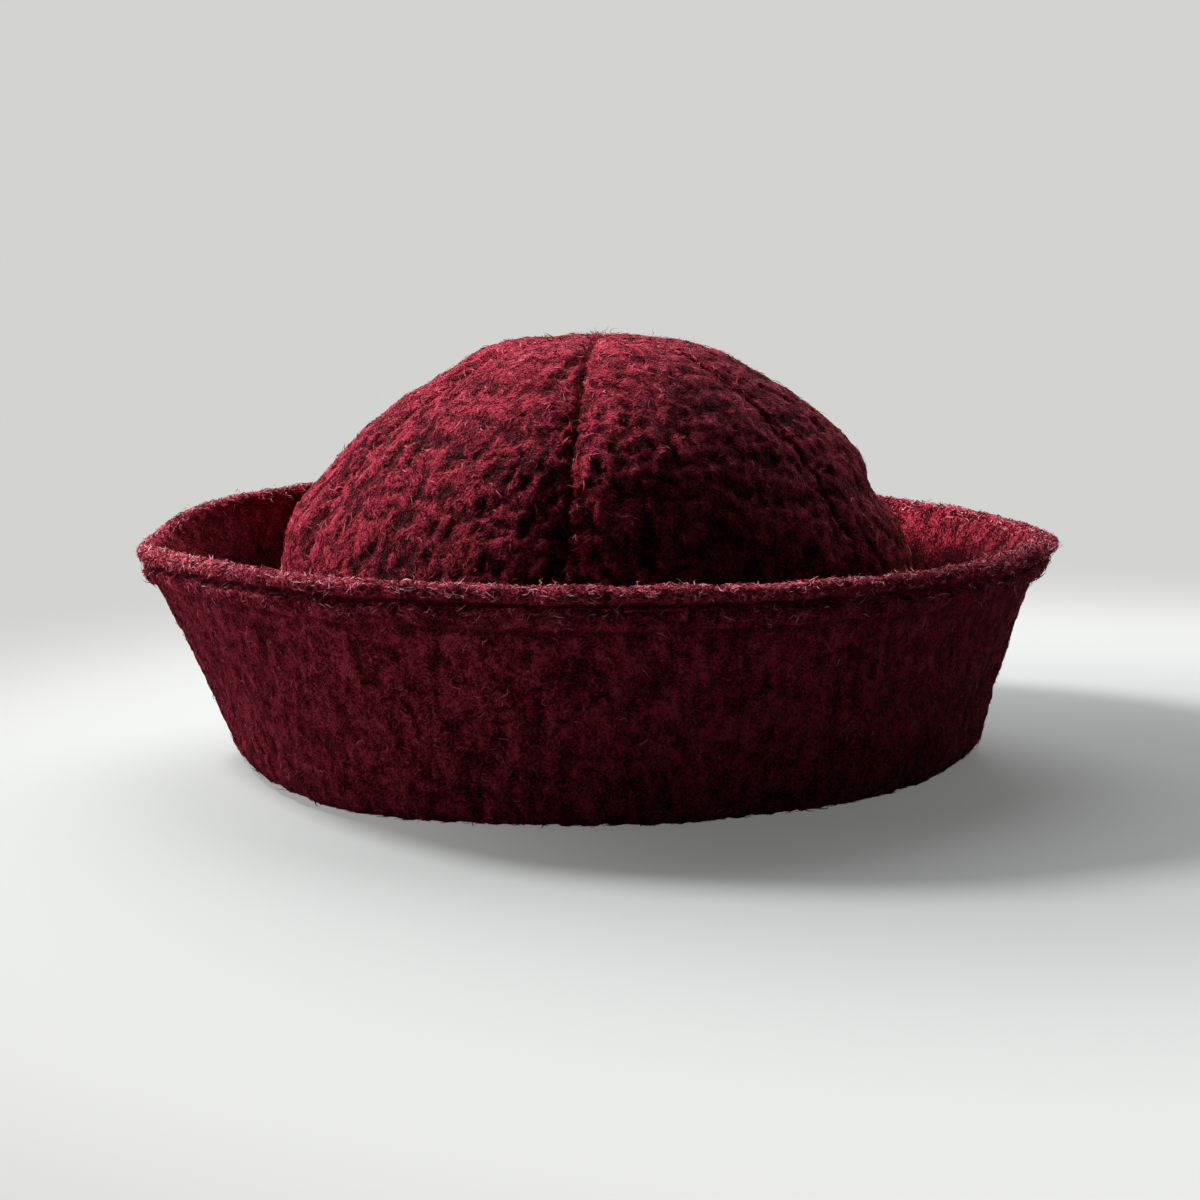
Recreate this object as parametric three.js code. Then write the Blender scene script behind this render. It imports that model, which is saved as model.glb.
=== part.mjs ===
// A sailor hat of boiled wool: a crown of six sewn gores in a doubled brim that is turned up.
//
// Millimetres, +Z up, the front faces -Y. The origin is below the crown's top, on the surface
// that the hat stands on. An azimuth is in degrees from the front and grows towards -X.

import * as THREE from 'three';

const CLOTH = 2.3; // thickness of the boiled wool
const GAP = 0.3; // clearance between neighbouring pieces
const PLY = CLOTH + GAP; // how far each further ply lies from the one before

// ---------------------------------------------------------------- crown

const CROWN = {
  gores: 6,
  firstSeam: 6, // azimuth of the seam that faces forward
  foot: 2 * PLY, // height of its lower edge, which stands on the brim's two plies
  tipRadius: 1.2, // the gores' points stop this far from the middle
  seamDip: 1.7, // how far the stitching draws the seams in
  seamReach: 6, // distance from a seam at which most of the dip is gone
};

// The crown's outer line from its top to its foot.
const CROWN_LINE = [
  { radius: 0, height: 117 },
  { radius: 24, height: 115 },
  { radius: 44, height: 106 },
  { radius: 64.5, height: 91 },
  { radius: 77.5, height: 75 },
  { radius: 86.5, height: 56 },
  { radius: 90.5, height: 31 },
  { radius: 91.5, height: CROWN.foot },
];

// Soft dents in the crown. The middle of each is at an azimuth and a height, `arc` and `rise`
// are its half sizes round the crown and up it, and a swelling has a negative depth.
const CROWN_DENTS = [
  { azimuth: -92, height: 75, arc: 26, rise: 5, depth: 2.6 },
  { azimuth: -90, height: 88, arc: 50, rise: 16, depth: -1.2 },
  { azimuth: 90, height: 106, arc: 50, rise: 8, depth: 0.5 },
  { azimuth: 94, height: 112.5, arc: 14, rise: 2.5, depth: -0.8 },
  { azimuth: 88, height: 67, arc: 30, rise: 10, depth: -2.4 },
  { azimuth: 20, height: 62, arc: 34, rise: 20, depth: 1.5 },
  { azimuth: -48, height: 84, arc: 28, rise: 16, depth: 1.2 },
];

// Where the points of a gore's mesh lie across it, from one seam (-1) to the other (1).
const GORE_COLUMNS = [-1, -0.94, -0.8, -0.5, 0, 0.5, 0.8, 0.94, 1];
const GORE_ROWS = 16;

// ---------------------------------------------------------------- brim

const BRIM = {
  innerRadius: 88.8, // inner edge of both plies, under the crown's lower edge
  foldRadius: 5.6, // outside radius of the fold at the foot
  rollHeight: 3.4, // how much of the edge is the facing rolled over it
  ridgeHeight: 4.0, // the outer ply's thick edge below the roll
  ridgeProud: 1.0, // how far the seam allowance pushes that edge out
  bevel: 1, // how far that edge's two corners are cut back
  curlHeight: 16, // how far down the wall the rim's outward bend reaches
};

// The brim's shape round the hat. `foot` is the radius at which its wall would meet the
// surface, `low` and `high` are how many degrees the wall leans out at the fold and at the rim,
// `slant` is its length from the surface to the rim, and `curl` is how far the rim bends out.
const BRIM_ROWS = [
  { azimuth: 0, foot: 99.3, low: 6, high: 11, slant: 61.8, curl: 0 },
  { azimuth: 18, foot: 102, low: 5, high: 10, slant: 61.8, curl: 0 },
  { azimuth: 35, foot: 105.5, low: 5, high: 10, slant: 61.8, curl: 0 },
  { azimuth: 60, foot: 100.3, low: 11, high: 17, slant: 62, curl: 0 },
  { azimuth: 78, foot: 98.7, low: 18, high: 23, slant: 62.5, curl: 0.3 },
  { azimuth: 93, foot: 100.3, low: 25, high: 27, slant: 64, curl: 1.2 },
  { azimuth: 108, foot: 98, low: 21, high: 24, slant: 69, curl: 0.3 },
  { azimuth: 130, foot: 97, low: 13, high: 15, slant: 69, curl: 0 },
  { azimuth: 180, foot: 97, low: 9, high: 12, slant: 66, curl: 0 },
  { azimuth: 230, foot: 98, low: 12, high: 15, slant: 65, curl: 0 },
  { azimuth: 252, foot: 101, low: 14, high: 22, slant: 65, curl: 0.5 },
  { azimuth: 268, foot: 106, low: 13, high: 22, slant: 64, curl: 3.5 },
  { azimuth: 285, foot: 101.8, low: 12, high: 18, slant: 61.5, curl: 0.5 },
  { azimuth: 305, foot: 98.8, low: 9, high: 14, slant: 61, curl: 0 },
  { azimuth: 330, foot: 97.3, low: 7, high: 12, slant: 61, curl: 0 },
];

const BRIM_SECTIONS = 72; // sections round the hat
const END_CROWDING = 14; // degrees by which they crowd towards the tight ends of the rim
const WALL_STEPS = 4; // straight pieces up the brim's wall
const FOLD_STEPS = 3; // straight pieces round the fold
const ROLL_STEPS = 3; // straight pieces over the rolled edge

// ---------------------------------------------------------------- shared geometry

/** The point at a radius, an azimuth in degrees and a height. */
function at(radius, azimuth, height) {
  const angle = THREE.MathUtils.degToRad(azimuth);
  return new THREE.Vector3(-radius * Math.sin(angle), -radius * Math.cos(angle), height);
}

/** How far apart two azimuths are, in degrees. */
function between(a, b) {
  return Math.abs(THREE.MathUtils.euclideanModulo(a - b + 180, 360) - 180);
}

/** A mesh geometry from points and the corners of its quads, taken anticlockwise from outside. */
function quadGeometry(points, quads) {
  const geometry = new THREE.BufferGeometry().setFromPoints(points);
  const gap = (a, b) => points[a].distanceTo(points[b]);
  const shorterCut = ([a, b, c, d]) =>
    gap(a, c) <= gap(b, d) ? [a, b, c, a, c, d] : [b, c, d, b, d, a];
  geometry.setIndex(quads.flatMap(shorterCut));
  geometry.computeVertexNormals();
  return geometry;
}

/** A ring whose sections are closed loops of points, anticlockwise with the radius to the right. */
function ringGeometry(sections) {
  const count = sections.length;
  const size = sections[0].length;
  const quads = [];
  for (let i = 0; i < count; i += 1) {
    const here = i * size;
    const next = ((i + 1) % count) * size;
    for (let j = 0; j < size; j += 1) {
      const k = (j + 1) % size;
      quads.push([here + j, here + k, next + k, next + j]);
    }
  }
  return quadGeometry(sections.flat(), quads);
}

/** A wall of cloth from two equal grids of points, its outer and its inner face. */
function wallGeometry(outer, inner) {
  const rows = outer.length;
  const columns = outer[0].length;
  const back = rows * columns;
  const index = (row, column) => row * columns + column;
  const quads = [];
  for (let i = 0; i + 1 < rows; i += 1) {
    for (let j = 0; j + 1 < columns; j += 1) {
      const face = [index(i, j), index(i, j + 1), index(i + 1, j + 1), index(i + 1, j)];
      quads.push(face);
      quads.push(face.map((corner) => back + corner).reverse());
    }
  }
  const edge = [];
  for (let j = 0; j + 1 < columns; j += 1) edge.push(index(0, j));
  for (let i = 0; i + 1 < rows; i += 1) edge.push(index(i, columns - 1));
  for (let j = columns - 1; j > 0; j -= 1) edge.push(index(rows - 1, j));
  for (let i = rows - 1; i > 0; i -= 1) edge.push(index(i, 0));
  edge.forEach((corner, i) => {
    const next = edge[(i + 1) % edge.length];
    quads.push([next, corner, back + corner, back + next]);
  });
  return quadGeometry([...outer.flat(), ...inner.flat()], quads);
}

// ---------------------------------------------------------------- crown pieces

const crownLine = new THREE.SplineCurve(
  CROWN_LINE.map(({ radius, height }) => new THREE.Vector2(radius, height)),
);

/** How far the crown's surface lies inside its plain line at a place. */
function crownDip(azimuth, height, fromSeam) {
  let dip = CROWN.seamDip * Math.exp(-((fromSeam / CROWN.seamReach) ** 2));
  for (const dent of CROWN_DENTS) {
    const across = between(azimuth, dent.azimuth) / dent.arc;
    const up = (height - dent.height) / dent.rise;
    dip += dent.depth * Math.exp(-(across ** 2) - up ** 2);
  }
  return dip;
}

/** A point of a gore, a share `down` of the way down it and `across` from its middle. */
function gorePoint(middle, across, down, depth) {
  const line = crownLine.getPointAt(down);
  const along = crownLine.getTangentAt(down);
  const halfAngle = 180 / CROWN.gores;
  const radius = Math.max(line.x, CROWN.tipRadius);
  const fromSeam = THREE.MathUtils.degToRad((1 - Math.abs(across)) * halfAngle) * radius;
  const azimuth = middle + across * halfAngle;
  const fadeAtTip = Math.min(1, radius / (2 * CROWN.seamReach));
  const inward = crownDip(azimuth, line.y, fromSeam) * fadeAtTip + depth;
  const normal = new THREE.Vector2(-along.y, along.x);
  const height = Math.max(line.y - normal.y * inward, CROWN.foot);
  const point = at(radius - normal.x * inward, azimuth, height);
  const sideways = at(1, azimuth + 90, 0).multiplyScalar((-across * GAP) / 2);
  return point.add(sideways);
}

function goreGeometry(middle) {
  const tip = CROWN.tipRadius / crownLine.getLength();
  const faces = [0, CLOTH].map((depth) => {
    const grid = [];
    for (let i = 0; i <= GORE_ROWS; i += 1) {
      const down = tip + (1 - tip) * (i / GORE_ROWS);
      grid.push(GORE_COLUMNS.map((across) => gorePoint(middle, across, down, depth)));
    }
    return grid;
  });
  return wallGeometry(faces[0], faces[1]);
}

// ---------------------------------------------------------------- brim pieces

/** One column of BRIM_ROWS at any azimuth, smooth all the way round. */
function brimValue(column, azimuth) {
  const turn = THREE.MathUtils.euclideanModulo(azimuth, 360);
  const count = BRIM_ROWS.length;
  const last = BRIM_ROWS.findLastIndex((row) => row.azimuth <= turn);
  const row = (i) => BRIM_ROWS[(i + count) % count];
  const place = (i) => row(i).azimuth + 360 * Math.floor(i / count);
  const slope = (i) =>
    (row(i + 1)[column] - row(i - 1)[column]) / (place(i + 1) - place(i - 1));
  const span = place(last + 1) - place(last);
  const t = (turn - place(last)) / span;
  const start = row(last)[column];
  const end = row(last + 1)[column];
  return (
    start * (2 * t ** 3 - 3 * t ** 2 + 1) +
    slope(last) * span * (t ** 3 - 2 * t ** 2 + t) +
    end * (3 * t ** 2 - 2 * t ** 3) +
    slope(last + 1) * span * (t ** 3 - t ** 2)
  );
}

/** The brim's outside line at an azimuth, as functions of the distance from the surface. */
function brimWall(azimuth) {
  const foot = brimValue('foot', azimuth);
  const slant = brimValue('slant', azimuth);
  const low = THREE.MathUtils.degToRad(brimValue('low', azimuth));
  const high = THREE.MathUtils.degToRad(brimValue('high', azimuth));
  const curl = brimValue('curl', azimuth);
  /** The point a distance `along` the wall and `inward` from its outside. */
  const point = (along, inward) => {
    const lean = low + (high - low) * (along / slant);
    const chord = (low + lean) / 2;
    const bent = Math.max(0, 1 - (slant - along) / BRIM.curlHeight);
    const depth = inward - curl * bent ** 2;
    return [
      foot + along * Math.sin(chord) - depth * Math.cos(lean),
      along * Math.cos(chord) + depth * Math.sin(lean),
    ];
  };
  return { foot, slant, low, point };
}

/** The line of a ply's face from its inner edge round the fold, `inward` from the outside. */
function foldLine(wall, inward) {
  const turn = Math.PI / 2 - wall.low;
  const reach = BRIM.foldRadius * Math.tan(turn / 2);
  const centre = wall.foot - reach;
  const radius = BRIM.foldRadius - inward;
  const line = [[BRIM.innerRadius, inward]];
  for (let i = 0; i <= FOLD_STEPS; i += 1) {
    const angle = (turn * i) / FOLD_STEPS;
    line.push([centre + radius * Math.sin(angle), BRIM.foldRadius - radius * Math.cos(angle)]);
  }
  return { line, reach };
}

/** The line of a ply's face up the wall, from the fold to a distance `end` along it. */
function wallLine(wall, start, end, inward) {
  const line = [];
  for (let i = 1; i <= WALL_STEPS; i += 1) {
    line.push(wall.point(start + ((end - start) * i) / WALL_STEPS, inward));
  }
  return line;
}

/** The outer ply's section, with its thick edge below the roll. */
function outerSection(azimuth) {
  const wall = brimWall(azimuth);
  const top = wall.slant - BRIM.rollHeight - GAP;
  const step = top - BRIM.ridgeHeight;
  const outside = foldLine(wall, 0);
  const inside = foldLine(wall, CLOTH);
  const ridge = [
    wall.point(step + BRIM.bevel, -BRIM.ridgeProud),
    wall.point(top - BRIM.bevel, -BRIM.ridgeProud),
    wall.point(top, 0),
  ];
  const loop = [
    ...outside.line,
    ...wallLine(wall, outside.reach, step, 0),
    ...ridge,
    wall.point(top, CLOTH),
    ...wallLine(wall, outside.reach, step, CLOTH).reverse(),
    ...inside.line.reverse(),
  ];
  return loop.map(([radius, height]) => at(radius, azimuth, height));
}

/** The facing's section, with the roll that goes over the outer ply's edge. */
function facingSection(azimuth) {
  const wall = brimWall(azimuth);
  const under = wall.slant - BRIM.rollHeight;
  const step = under - GAP - BRIM.ridgeHeight;
  const outside = foldLine(wall, PLY);
  const inside = foldLine(wall, PLY + CLOTH);
  const roll = [];
  const middle = (PLY + CLOTH) / 2;
  const halfWidth = middle + GAP;
  const halfHeight = BRIM.rollHeight / 2;
  for (let i = 0; i <= 2 * ROLL_STEPS; i += 1) {
    const angle = (Math.PI * i) / (2 * ROLL_STEPS);
    const up = under + halfHeight + halfHeight * Math.sin(angle);
    roll.push(wall.point(up, middle - halfWidth * Math.cos(angle)));
  }
  const loop = [
    ...outside.line,
    ...wallLine(wall, outside.reach, step, PLY),
    wall.point(under, PLY),
    wall.point(under, 0),
    ...roll,
    ...wallLine(wall, outside.reach, step, PLY + CLOTH).reverse(),
    ...inside.line.reverse(),
  ];
  return loop.map(([radius, height]) => at(radius, azimuth, height));
}

function brimGeometry(section) {
  const sections = [];
  for (let i = 0; i < BRIM_SECTIONS; i += 1) {
    const turn = (360 * i) / BRIM_SECTIONS;
    const crowding = END_CROWDING * Math.sin(THREE.MathUtils.degToRad(2 * turn));
    sections.push(section(turn + crowding));
  }
  return ringGeometry(sections);
}

// ---------------------------------------------------------------- the hat

const wool = (color) => new THREE.MeshStandardMaterial({ color, roughness: 0.95, metalness: 0 });
const crownWool = wool('#8c2836');
const brimWool = wool('#6e1b28');

function piece(name, geometry, material) {
  const mesh = new THREE.Mesh(geometry, material);
  mesh.name = name;
  return mesh;
}

const hat = new THREE.Group();
const goreAngle = 360 / CROWN.gores;
for (let i = 0; i < CROWN.gores; i += 1) {
  const middle = CROWN.firstSeam + goreAngle * (i + 0.5);
  hat.add(piece(`crown_gore_${i + 1}`, goreGeometry(middle), crownWool));
}
hat.add(piece('brim_outer', brimGeometry(outerSection), brimWool));
hat.add(piece('brim_facing', brimGeometry(facingSection), brimWool));

export default hat;
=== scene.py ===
"""A sailor hat of boiled wool: a crown of six sewn gores in a doubled brim that is turned up.

The tables and formulas are in millimetres and degrees, and Blender's objects are in metres.
+Z is up and the front faces -Y. An azimuth starts at the front and grows towards -X.
"""

import math

import bpy
import numpy as np
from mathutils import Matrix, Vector, noise


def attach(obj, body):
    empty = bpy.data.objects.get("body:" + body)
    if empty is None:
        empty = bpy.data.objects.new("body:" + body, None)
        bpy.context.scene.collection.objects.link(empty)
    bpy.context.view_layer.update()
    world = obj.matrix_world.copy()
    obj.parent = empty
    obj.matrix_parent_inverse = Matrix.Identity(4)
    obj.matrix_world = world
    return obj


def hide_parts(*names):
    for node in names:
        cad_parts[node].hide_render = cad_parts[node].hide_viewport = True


bl_info = {
    "name": "Boiled Wool Sailor Hat",
    "version": (1, 0, 0),
    "blender": (4, 5, 0),
    "location": "View3D > Sidebar > Hat",
    "description": "Builds a gored sailor hat of boiled wool with its nap of loose fibres",
    "category": "Add Mesh",
}

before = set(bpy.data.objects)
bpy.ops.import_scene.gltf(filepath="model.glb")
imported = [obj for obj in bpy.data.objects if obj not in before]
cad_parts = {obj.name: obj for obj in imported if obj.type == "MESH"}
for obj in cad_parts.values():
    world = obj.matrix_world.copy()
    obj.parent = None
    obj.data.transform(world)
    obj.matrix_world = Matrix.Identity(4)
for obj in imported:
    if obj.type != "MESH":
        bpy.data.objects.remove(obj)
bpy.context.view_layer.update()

MM = 0.001  # a millimetre in Blender's metres
CLOTH = 2.3  # thickness of the boiled wool
GAP = 0.3  # clearance between the brim's plies
PLY = CLOTH + GAP  # how far each further ply lies from the one before

# ------------------------ crown sizes

GORES = 6
GORE_ANGLE = 360 / GORES
FIRST_SEAM = 6  # azimuth of the seam that faces forward
CROWN_FOOT = 2 * PLY  # height of the crown's lower edge, on the brim's two plies
SEAM_DIP = 1.1  # how far the stitching draws the seams in
SEAM_REACH = 6  # distance from a seam at which most of the dip is gone
STITCH_REACH = 0.9  # the same for the narrow groove along the stitches
PAINTED_SHADE_BELOW = 58  # height below which the crown's wool is painted dark, as painted shade from the brim

# The crown's outer line from its top to its foot, as radius and height.
CROWN_LINE = (
    (0, 117),
    (24, 115),
    (44, 106),
    (64.5, 91),
    (77.5, 75),
    (86.5, 56),
    (90.5, 31),
    (91.5, CROWN_FOOT),
)

# Soft dents in the crown: the azimuth and height of the middle, the half sizes round the crown
# and up it, and the depth, which is negative for a swelling.
CROWN_DENTS = (
    (-92, 75, 26, 5, 2.6),
    (-90, 88, 50, 16, -1.2),
    (90, 106, 50, 8, 0.5),
    (94, 112.5, 14, 2.5, -0.8),
    (88, 67, 30, 10, -2.4),
    (20, 62, 34, 20, 1.5),
    (-48, 84, 28, 16, 1.2),
)

# ------------------------ brim sizes

BRIM_INNER_RADIUS = 88.8  # inner edge of both plies, under the crown's lower edge
BAND_RADIUS = 110  # of a cylinder as long round as the brim's cloth
FOLD_RADIUS = 8.0  # outside radius of the fold at the foot
ROLL_HEIGHT = 4.0  # how much of the edge is the facing rolled over it
ROLL_IN = (PLY + CLOTH) / 2  # how far inward the middle of the roll lies
ROLL_NAP = 3.0  # how much more nap the roll has than the outer ply's wall
INSIDE_NAP = 0.35  # how much less the facing has inside the brim
RIDGE_HEIGHT = 4.0  # the outer ply's thick edge below the roll
RIDGE_PROUD = 1.6  # how far the seam allowance pushes that edge out
EDGE_ROUND = 0.5  # how much of the outer ply's upper edge is rounded
CURL_HEIGHT = 16  # how far down the wall the rim's outward bend reaches

# The brim's shape round the hat. `foot` is the radius at which its wall would meet the
# surface, `low` and `high` are how many degrees the wall leans out at the fold and at the rim,
# `slant` is its length from the surface to the rim, and `curl` is how far the rim bends out.
BRIM_COLUMNS = ("azimuth", "foot", "low", "high", "slant", "curl")
BRIM_ROWS = (
    (0, 99.3, 6, 11, 61.8, 0),
    (18, 102, 5, 10, 61.8, 0),
    (35, 105.5, 5, 10, 61.8, 0),
    (60, 100.3, 11, 17, 62, 0),
    (78, 98.7, 18, 23, 62.5, 0.3),
    (93, 100.3, 25, 27, 64, 1.2),
    (108, 98, 21, 24, 69, 0.3),
    (130, 97, 13, 15, 69, 0),
    (180, 97, 9, 12, 66, 0),
    (230, 98, 12, 15, 65, 0),
    (252, 101, 14, 22, 65, 0.5),
    (268, 106, 13, 22, 64, 3.5),
    (285, 101.8, 12, 18, 61.5, 0.5),
    (305, 98.8, 9, 14, 61, 0),
    (330, 97.3, 7, 12, 61, 0),
)


def linear(hex_colour):
    """The linear RGBA of an sRGB hex colour."""
    channels = [int(hex_colour[i : i + 2], 16) / 255 for i in (1, 3, 5)]
    return [c / 12.92 if c <= 0.04045 else ((c + 0.055) / 1.055) ** 2.4 for c in channels] + [1.0]


SHEEN_TINT = linear("#e0405a")  # light that grazes the wool's fibres

# ------------------------ what a user would change


class HatShape(bpy.types.PropertyGroup):
    """How finely the cloth is meshed and how deep its relief is."""

    spacing: bpy.props.FloatProperty(
        name="Mesh spacing",
        description="Distance between neighbouring points of a visible face",
        default=1.3 * MM,
        min=0.5 * MM,
        unit="LENGTH",
    )
    relief: bpy.props.FloatProperty(
        name="Felt relief",
        description="Depth of the pits between the felted tufts",
        default=0.7 * MM,
        min=0.0,
        unit="LENGTH",
    )
    wobble: bpy.props.FloatProperty(
        name="Edge wobble",
        description="How far the brim's soft edge strays from a smooth line",
        default=0.55 * MM,
        min=0.0,
        unit="LENGTH",
    )
    groove: bpy.props.FloatProperty(
        name="Edge groove",
        description="Height of the gap between the rolled edge and the outer ply",
        default=1.0 * MM,
        min=0.3 * MM,
        unit="LENGTH",
    )
    seam_groove: bpy.props.FloatProperty(
        name="Seam groove",
        description="Depth of the groove where two gores are sewn together",
        default=1.5 * MM,
        min=0.0,
        unit="LENGTH",
    )


class HatNap(bpy.types.PropertyGroup):
    """The loose fibres that stand off the cloth."""

    crown_fibres: bpy.props.IntProperty(
        name="Fibres on a gore", description="Loose fibres on each gore", default=5700, min=1
    )
    outer_fibres: bpy.props.IntProperty(
        name="Fibres on the outer ply", description="Loose fibres outside the brim", default=24500, min=1
    )
    facing_fibres: bpy.props.IntProperty(
        name="Fibres on the facing",
        description="Loose fibres on and inside the rim",
        default=23500,
        min=1,
    )
    length: bpy.props.FloatProperty(
        name="Fibre length", description="Length of a usual fibre", default=4.5 * MM, unit="LENGTH"
    )
    thickness: bpy.props.FloatProperty(
        name="Fibre width",
        description="Width of a fibre, several times a real one's so that it shows",
        default=0.24 * MM,
        unit="LENGTH",
    )
    curl: bpy.props.FloatProperty(
        name="Fibre curl", description="How far a usual fibre turns", default=4.0, unit="ROTATION"
    )


class HatWool(bpy.types.PropertyGroup):
    """The colours of the yarns that the cloth is felted from."""

    red: bpy.props.FloatVectorProperty(
        name="Wine red", description="The main yarn", subtype="COLOR", size=4, default=linear("#a02839")
    )
    black: bpy.props.FloatVectorProperty(
        name="Black", description="The dark yarn", subtype="COLOR", size=4, default=linear("#100304")
    )
    # Deep red colours the dark fibres and the gaps, where it is partly painted shade.
    deep: bpy.props.FloatVectorProperty(
        name="Deep red",
        description="Wool in the gaps",
        subtype="COLOR",
        size=4,
        default=linear("#570b19"),
    )
    # Rose and pale also colour the fibres that are painted paler as highlights.
    pink: bpy.props.FloatVectorProperty(
        name="Rose", description="Worn fibres", subtype="COLOR", size=4, default=linear("#c8425b")
    )
    pale: bpy.props.FloatVectorProperty(
        name="Pale", description="The lightest fibres", subtype="COLOR", size=4, default=linear("#d6939a")
    )


class HatStage(bpy.types.PropertyGroup):
    """The camera, the paper sweep and the lamps."""

    lens: bpy.props.FloatProperty(
        name="Lens", description="Focal length of the camera", default=86.1, unit="CAMERA"
    )
    distance: bpy.props.FloatProperty(
        name="Camera distance", description="From the camera to its aim", default=0.8, unit="LENGTH"
    )
    elevation: bpy.props.FloatProperty(
        name="Camera elevation",
        description="How far above the horizon the camera stands",
        default=math.radians(8.5),
        subtype="ANGLE",
    )
    aim_height: bpy.props.FloatProperty(
        name="Aim height", description="Height at the middle of the view", default=43 * MM, unit="LENGTH"
    )
    paper: bpy.props.FloatVectorProperty(
        name="Paper", description="Colour of the sweep", subtype="COLOR", size=4, default=linear("#707272")
    )
    lamp: bpy.props.FloatProperty(
        name="Key lamp", description="Strength of the lamp high at the left", default=32.0, min=0.0
    )
    sky: bpy.props.FloatProperty(
        name="Sky", description="Strength of the soft light from behind", default=3.6, min=0.0
    )
    side: bpy.props.FloatProperty(
        name="Side lamp", description="Strength of the low lamp at the left", default=3.2, min=0.0
    )
    back: bpy.props.FloatProperty(
        name="Back lamp", description="Strength of the lamp high behind the hat", default=12.5, min=0.0
    )
    # Painted light: how strongly the paper glows.
    glow: bpy.props.FloatProperty(
        name="Glow", description="Strength of the light through the paper", default=0.65, min=0.0
    )


# ------------------------ places on the hat


def at(radius, azimuth, height):
    """Rows of x, y, z at radii, azimuths in degrees and heights."""
    angle = np.radians(azimuth)
    parts = np.broadcast_arrays(-radius * np.sin(angle), -radius * np.cos(angle), height)
    return np.stack(parts, axis=-1)


def unit(rows):
    """Rows of vectors, made one long."""
    return rows / np.linalg.norm(rows, axis=-1, keepdims=True)


def crown_line(steps=80):
    """The crown's outer line, smooth through CROWN_LINE: its length so far, radius, height and the
    radius and height parts of its outward normal."""
    knots = np.array(CROWN_LINE, float)
    before, after = np.vstack([knots[:1], knots[:-1]]), np.vstack([knots[1:], knots[-1:]])
    slopes = (after - before) / 2
    t = np.linspace(0, 1, steps, endpoint=False)[:, None]
    line = []
    for piece in zip(knots[:-1], knots[1:], slopes[:-1], slopes[1:]):
        line.append(hermite(t, *piece))
    line = np.vstack([*line, knots[-1:]])
    length = np.concatenate([[0], np.cumsum(np.hypot(*np.diff(line, axis=0).T))])
    along = unit(np.gradient(line, length, axis=0))
    return length, line[:, 0], line[:, 1], -along[:, 1], along[:, 0]


def hermite(t, start, end, leave, reach):
    """A smooth curve from start to end whose slopes there are leave and reach."""
    return (
        start * (2 * t**3 - 3 * t**2 + 1)
        + leave * (t**3 - 2 * t**2 + t)
        + end * (3 * t**2 - 2 * t**3)
        + reach * (t**3 - t**2)
    )


CROWN = crown_line()
CROWN_LENGTH = CROWN[0][-1]


def crown_at(down):
    """Radius, height and outward normal of the crown's line, `down` millimetres from the top."""
    return [np.interp(down, CROWN[0], column) for column in CROWN[1:]]


def crown_dip(azimuth, height, from_seam):
    """How far the crown's face lies inside its plain line."""
    dip = SEAM_DIP * np.exp(-((from_seam / SEAM_REACH) ** 2))
    for middle, level, arc, rise, depth in CROWN_DENTS:
        across = ((azimuth - middle + 180) % 360 - 180) / arc
        dip = dip + depth * np.exp(-(across**2) - ((height - level) / rise) ** 2)
    return dip


def brim_value(column, azimuth):
    """One column of BRIM_ROWS at any azimuths, smooth all the way round."""
    rows = np.array(BRIM_ROWS, float)
    values = rows[:, BRIM_COLUMNS.index(column)]
    places = np.concatenate([rows[-2:, 0] - 360, rows[:, 0], rows[:3, 0] + 360])
    values = np.concatenate([values[-2:], values, values[:3]])
    slopes = (values[2:] - values[:-2]) / (places[2:] - places[:-2])
    places, values = places[1:-1], values[1:-1]
    turn = np.mod(azimuth, 360)
    i = np.searchsorted(places, turn, side="right") - 1
    span = places[i + 1] - places[i]
    t = (turn - places[i]) / span
    return hermite(t, values[i], values[i + 1], slopes[i] * span, slopes[i + 1] * span)


def brim_parts(azimuth):
    """Where the brim's outside line turns up, round the hat: the fold's angle, its centre's radius,
    its height on the wall's slant, the line's length up to the fold's end, and its whole length."""
    low = np.radians(brim_value("low", azimuth))
    turn = math.pi / 2 - low
    reach = FOLD_RADIUS * np.tan(turn / 2)
    centre = brim_value("foot", azimuth) - reach
    below = centre - BRIM_INNER_RADIUS + FOLD_RADIUS * turn
    return turn, centre, reach, below, below + brim_value("slant", azimuth) - reach


def brim_point(azimuth, along, inward):
    """Points `along` the brim's outside line from its inner edge, and `inward` from its outside."""
    turn, centre, reach, below, _ = brim_parts(azimuth)
    flat = centre - BRIM_INNER_RADIUS
    angle = np.clip((along - flat) / FOLD_RADIUS, 0, turn)
    flat_radius = BRIM_INNER_RADIUS + np.minimum(along, flat)
    fold_radius = flat_radius + (FOLD_RADIUS - inward) * np.sin(angle)
    fold_height = FOLD_RADIUS - (FOLD_RADIUS - inward) * np.cos(angle)
    up = np.maximum(along - below, 0) + reach
    slant = brim_value("slant", azimuth)
    low = np.radians(brim_value("low", azimuth))
    lean = low + (np.radians(brim_value("high", azimuth)) - low) * (up / slant)
    chord = (low + lean) / 2
    bent = np.clip(1 - (slant - up) / CURL_HEIGHT, 0, None)
    depth = inward - brim_value("curl", azimuth) * bent**2
    wall_radius = brim_value("foot", azimuth) + up * np.sin(chord) - depth * np.cos(lean)
    wall_height = up * np.cos(chord) + depth * np.sin(lean)
    on_wall = along > below
    radius = np.where(on_wall, wall_radius, fold_radius)
    height = np.where(on_wall, wall_height, fold_height)
    return at(radius, azimuth, np.maximum(height, 0))


# ------------------------ the felt's relief

# Sizes of the felt's forms in millimetres, as the noise that makes them is scaled.
UPRIGHT_PIT = 3.0  # a gap that runs up the cloth, as its stitches did
SIDEWAYS_PIT = 2.3  # a gap that follows a row of stitches
PATCH_SIZE = 14  # cloth whose gaps mostly run one way
FRAY_SIZE = 1.7  # raggedness of tufts and gaps
TUFT_SIZE = 2.9
SWELL_SIZE = 17  # a place where the cloth is thicker
PIT_SIDE = 0.6  # how far the noise rises from a gap's edge to its bottom


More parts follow.
